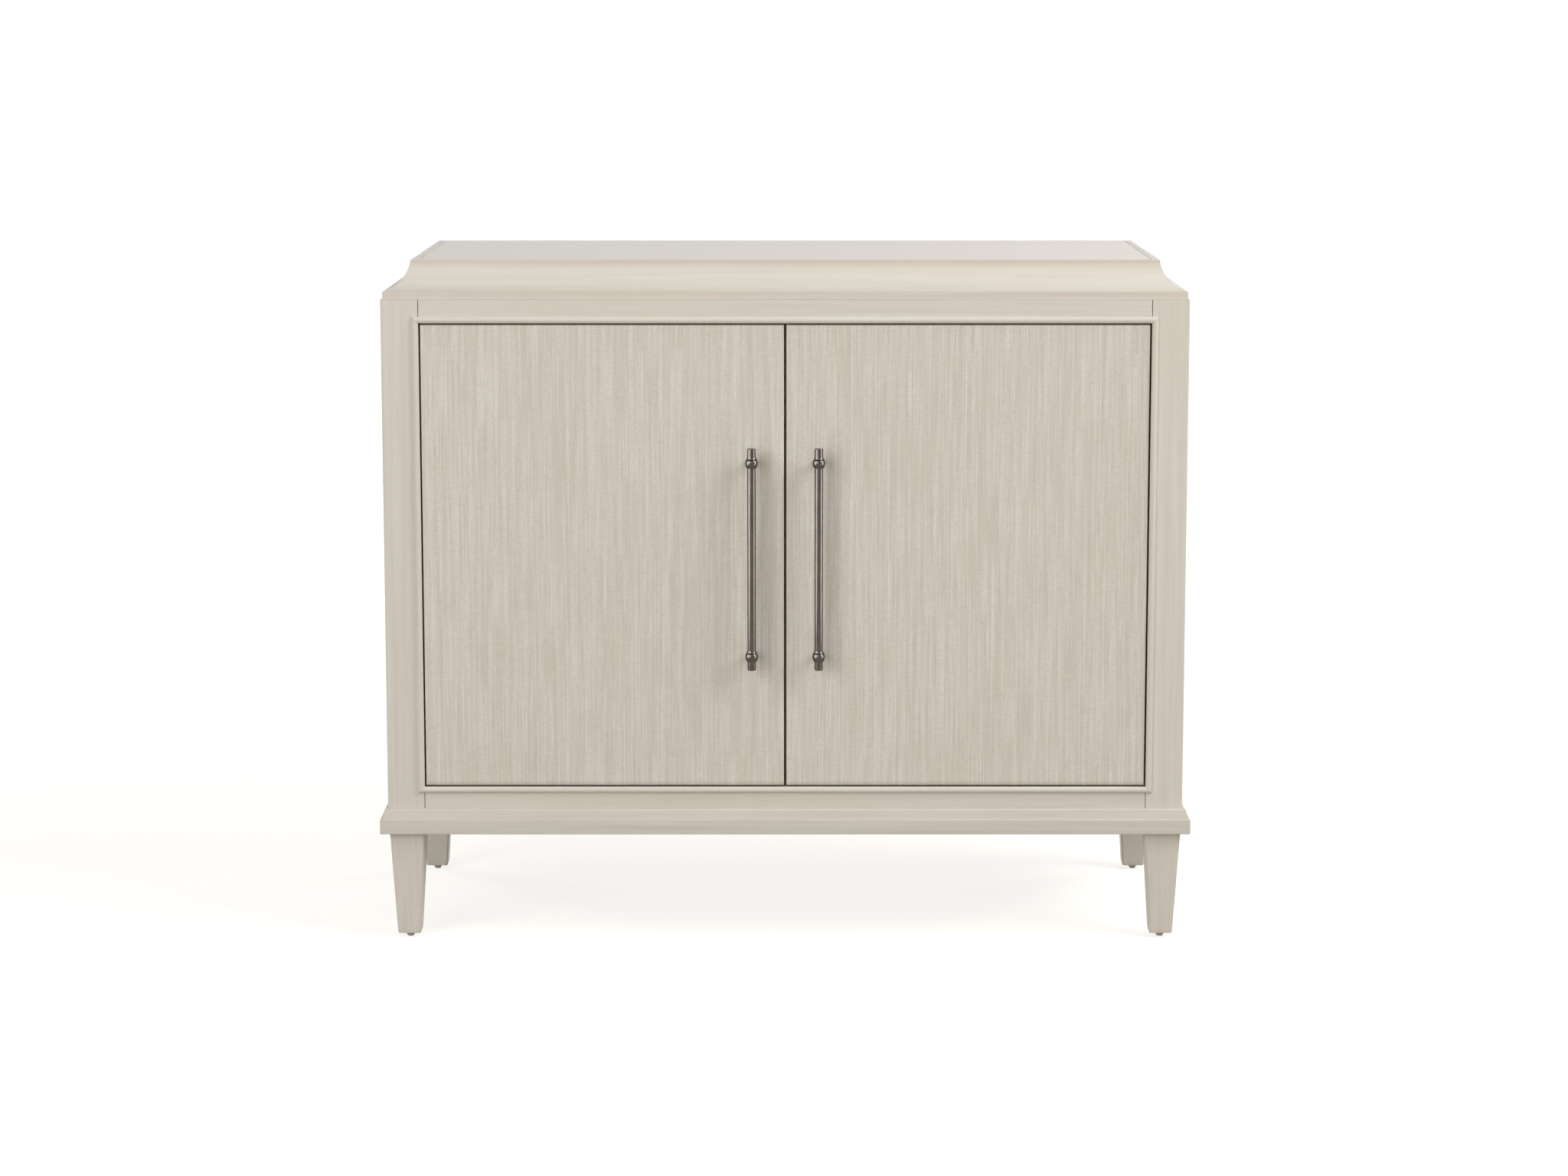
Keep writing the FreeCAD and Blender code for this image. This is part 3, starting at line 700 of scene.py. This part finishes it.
def dress_glides():
    """Four glides under the legs, each a cone with a rounded rim at its tip."""
    low, high = box_mm("leg_glides")
    turn = np.linspace(0, np.pi / 2, 9)
    rim = np.stack([glide_tip_radius - glide_tip_round * (1 - np.sin(turn)), glide_tip_round * (1 - np.cos(turn))],
                   axis=1)
    tall = high[2] - low[2]
    outline = np.vstack([[[0, 0]], rim, [[glide_top_radius, tall], [0, tall]]])
    across = (low[0] + glide_top_radius, high[0] - glide_top_radius)
    deep = (low[1] + glide_top_radius, high[1] - glide_top_radius)
    points = np.stack([turned(outline, (x, y, low[2]), (0, 0, 1)) for x in across for y in deep])
    shifts = np.arange(4)[:, None, None] * (len(outline) * turned_sides)
    quads = grid_faces(len(outline), turned_sides, wrapped=True)
    piece("glides_run", points, (quads + shifts).reshape(-1, 4), nylon, "glide_plastic", "case", "leg_glides")


# Screws

def screw_heads(name, seats, axis, radius, body):
    """Low domed heads with a cross recess, seated at the given points and facing along an axis. On a disc the
    dome falls as one minus the square of the radius; the recess sinks it along two crossed arms."""
    rings, around = 15, 48
    reach = np.linspace(0, 1, rings)[:, None]
    angle = np.linspace(0, 2 * np.pi, around, endpoint=False)[None]
    u, v = reach * np.cos(angle), reach * np.sin(angle)
    arm = np.minimum(np.abs(u), np.abs(v))
    recess = np.clip((recess_arm - arm) / recess_wall, 0, 1) * np.clip((recess_reach - reach) / recess_end, 0, 1)
    dome = radius * (head_rim + head_crown * (1 - reach ** 2) - recess_depth * recess)
    axis = np.array(axis, float)
    side = np.array([axis[1], axis[2], axis[0]])
    other = np.cross(axis, side)
    head = (u[..., None] * side + v[..., None] * other) * radius + dome[..., None] * axis
    skirt = (u[-1:, :, None] * side + v[-1:, :, None] * other) * radius
    form = np.concatenate([head, skirt, skirt * 0])
    quads = grid_faces(rings + 2, around, wrapped=True)
    points = np.array(seats)[:, None, None] + form
    shifts = np.arange(len(seats))[:, None, None] * (form.size // 3)
    piece(name, points, (quads + shifts).reshape(-1, 4), nickel, "hinge_steel", body, crease=40.0)


def dress_screws():
    """The screws of each pull behind its door, and of each hinge on its cup's flange and its plate."""
    for side, sign in (("left", -1), ("right", 1)):
        door = side + "_door"
        bar_low, bar_high = box_mm("pull_bar_" + side)
        post_low, post_high = box_mm("pull_posts_" + side)
        back = box_mm("door_" + side)[1][1]
        middle = (bar_low[0] + bar_high[0]) / 2
        pull_seats = [(middle, back, z) for z in (post_low[2] + collar_half, post_high[2] - collar_half)]
        screw_heads("pull_screws_" + side, pull_seats, (0, 1, 0), pull_screw_radius, door)
        cup_low, cup_high = box_mm("hinge_cups_" + side)
        plate_low, plate_high = box_mm("hinge_plates_" + side)
        cup_x = (cup_low[0] + cup_high[0]) / 2
        heights = (cup_low[2] + cup_flange_half, cup_high[2] - cup_flange_half)
        cup_seats = [(cup_x, cup_high[1], z + reach) for z in heights
                     for reach in (-cup_screw_reach, cup_screw_reach)]
        screw_heads("cup_screws_" + side, cup_seats, (0, 1, 0), hinge_screw_radius, door)
        plate_x = plate_high[0] if sign < 0 else plate_low[0]
        plate_y = (plate_low[1] + plate_high[1]) / 2
        plate_seats = [(plate_x, plate_y, z + reach) for z in heights
                       for reach in (-plate_screw_reach, plate_screw_reach)]
        screw_heads("plate_screws_" + side, plate_seats, (-sign, 0, 0), hinge_screw_radius, "case")


# Finish of the CAD pieces that keep their own shape

def dress_solids():
    """Gives each CAD piece its finish, with the grain along its length."""
    grain_across = ("top_rail", "bottom_rail")
    inside_across = ("deck", "case_top", "shelf_left", "shelf_right", "back_top_rail", "back_bottom_rail",
                     "back_batten")
    inside_upright = ("partition", "back_panel")
    inside_deep = ("deck_cleats", "top_battens")
    finishes = {"door_bumpers": bumper_skin, "shelf_pegs": nickel}
    finishes.update({name: limed["X"] for name in grain_across})
    finishes.update({name: inside["X"] for name in inside_across})
    finishes.update({name: inside["Z"] for name in inside_upright})
    finishes.update({name: inside["Y"] for name in inside_deep})
    for name, node in nodes.items():
        finish = finishes.get(name, nickel if name.startswith("hinge_") else limed["Z"])
        node.data.materials.clear()
        node.data.materials.append(finish)


# Studio

def white_where_seen(tree):
    """1 for rays from the camera and for those that metal or glass sends on, 0 for light that falls on the chest."""
    path = add(tree, "ShaderNodeLightPath", out="Is Camera Ray").node
    seen = add(tree, "ShaderNodeMath", {0: path.outputs["Is Camera Ray"], 1: path.outputs["Is Glossy Ray"]},
               operation="MAXIMUM")
    return add(tree, "ShaderNodeMath", {0: seen, 1: path.outputs["Is Transmission Ray"]}, operation="MAXIMUM")


def light_world(ambient):
    """A white surround that lights the chest only faintly."""
    world = bpy.data.worlds.new("white_studio")
    world.use_nodes = True
    scene.world = world
    tree = world.node_tree
    background = tree.nodes["Background"]
    background.inputs["Color"].default_value = grey(1.0)
    strength = add(tree, "ShaderNodeMapRange", {"Value": white_where_seen(tree), "To Min": ambient})
    tree.links.new(strength, background.inputs["Strength"])


def lay_floor(extent):
    """A pale floor: dull white that keeps the shadow, lifted to white where the camera sees it."""
    material, tree, shader, place = finish_named("white_paper_floor")
    fibre = add(tree, "ShaderNodeTexNoise", {
        "Vector": add(tree, "ShaderNodeMapping", {"Vector": place, "Scale": per_mm(9.0, 9.0, 9.0)}),
        "Scale": 1.0, "Detail": 3.0})
    shade = add(tree, "ShaderNodeValToRGB", {"Fac": fibre},
                stops=[(0.3, linear("#ABA399")), (0.7, linear("#B0A89E"))])
    far = add(tree, "ShaderNodeVectorMath", {0: place}, out="Value", operation="LENGTH")
    white = add(tree, "ShaderNodeMapRange", {"Value": far, "From Min": floor_near, "From Max": floor_far,
                                             "To Min": floor_near_white, "To Max": 1.0},
                interpolation_type="SMOOTHSTEP")
    glow = add(tree, "ShaderNodeMath", {0: white, 1: white_where_seen(tree)}, operation="MULTIPLY")
    wire(tree, shader, {"Base Color": shade, "Roughness": 0.9, "Specular IOR Level": 0.0,
                        "Emission Color": grey(1.0), "Emission Strength": glow})
    mesh = bpy.data.meshes.new("floor")
    side = np.linspace(-extent, extent, floor_points)
    across, deep = np.meshgrid(side, side)
    points = np.stack([across, deep, np.zeros_like(across)], axis=-1).reshape(-1, 3)
    mesh.from_pydata(points.tolist(), [], grid_faces(floor_points, floor_points).tolist())
    mesh.materials.append(material)
    floor = bpy.data.objects.new("floor", mesh)
    scene.collection.objects.link(floor)


def soft_lamp(name, bearing, height, distance, size, brightness):
    """A square soft box that looks at the middle of the chest, at a bearing to the right of the camera's side and
    a height in degrees. Its power is its brightness times pi times its area."""
    lamp = bpy.data.lights.new(name, "AREA")
    lamp.size = size
    lamp.energy = brightness * math.pi * size ** 2
    box = bpy.data.objects.new(name, lamp)
    turn, rise = math.radians(bearing), math.radians(height)
    away = Vector((math.sin(turn) * math.cos(rise), -math.cos(turn) * math.cos(rise), math.sin(rise)))
    box.location = Vector(lamp_aim) + away * distance
    box.rotation_euler = (-away).to_track_quat("-Z", "Y").to_euler()
    box.visible_camera = False
    scene.collection.objects.link(box)
    return box


def light_pulls(names):
    """Two low strips beside the chest that reach only the pulls, for the long highlights down both sides."""
    pulls = bpy.data.collections.new("pulls")
    for name in names:
        pulls.objects.link(bpy.data.objects[name])
    for name, bearing in (("strip_right", 86), ("strip_left", -76)):
        strip = soft_lamp(name, bearing, strip_height, strip_distance, strip_size, strip_brightness)
        strip.light_linking.receiver_collection = pulls


def stand_camera():
    """At the photograph's place: level with the middle of the width, above the top and looking slightly down."""
    camera = bpy.data.cameras.new("camera")
    camera.lens = camera_lens
    camera.sensor_width = camera_sensor
    viewer = bpy.data.objects.new("camera", camera)
    viewer.location = camera_place
    viewer.rotation_euler = (math.pi / 2 - camera_pitch, 0, 0)
    scene.collection.objects.link(viewer)
    scene.camera = viewer


dress_solids()
dress_mouldings()
dress_top()
dress_beads()
dress_raffia()
dress_pulls()
dress_glides()
dress_screws()

scene.view_settings.view_transform = "Standard"
light_world(ambient_light)
lay_floor(floor_extent)
soft_lamp("soft_box_right", bearing=64, height=39, distance=4.6, size=2.8, brightness=6.8)
soft_lamp("soft_box_left", bearing=-33, height=17, distance=6.0, size=3.6, brightness=4.6)
soft_lamp("soft_box_back_right", bearing=128, height=9, distance=8.0, size=3.0, brightness=9.0)
soft_lamp("soft_box_back_left", bearing=-128, height=9, distance=8.0, size=3.0, brightness=9.0)
light_pulls(["pull_rod_left", "pull_rod_right", "pull_collars_left", "pull_collars_right"])
stand_camera()
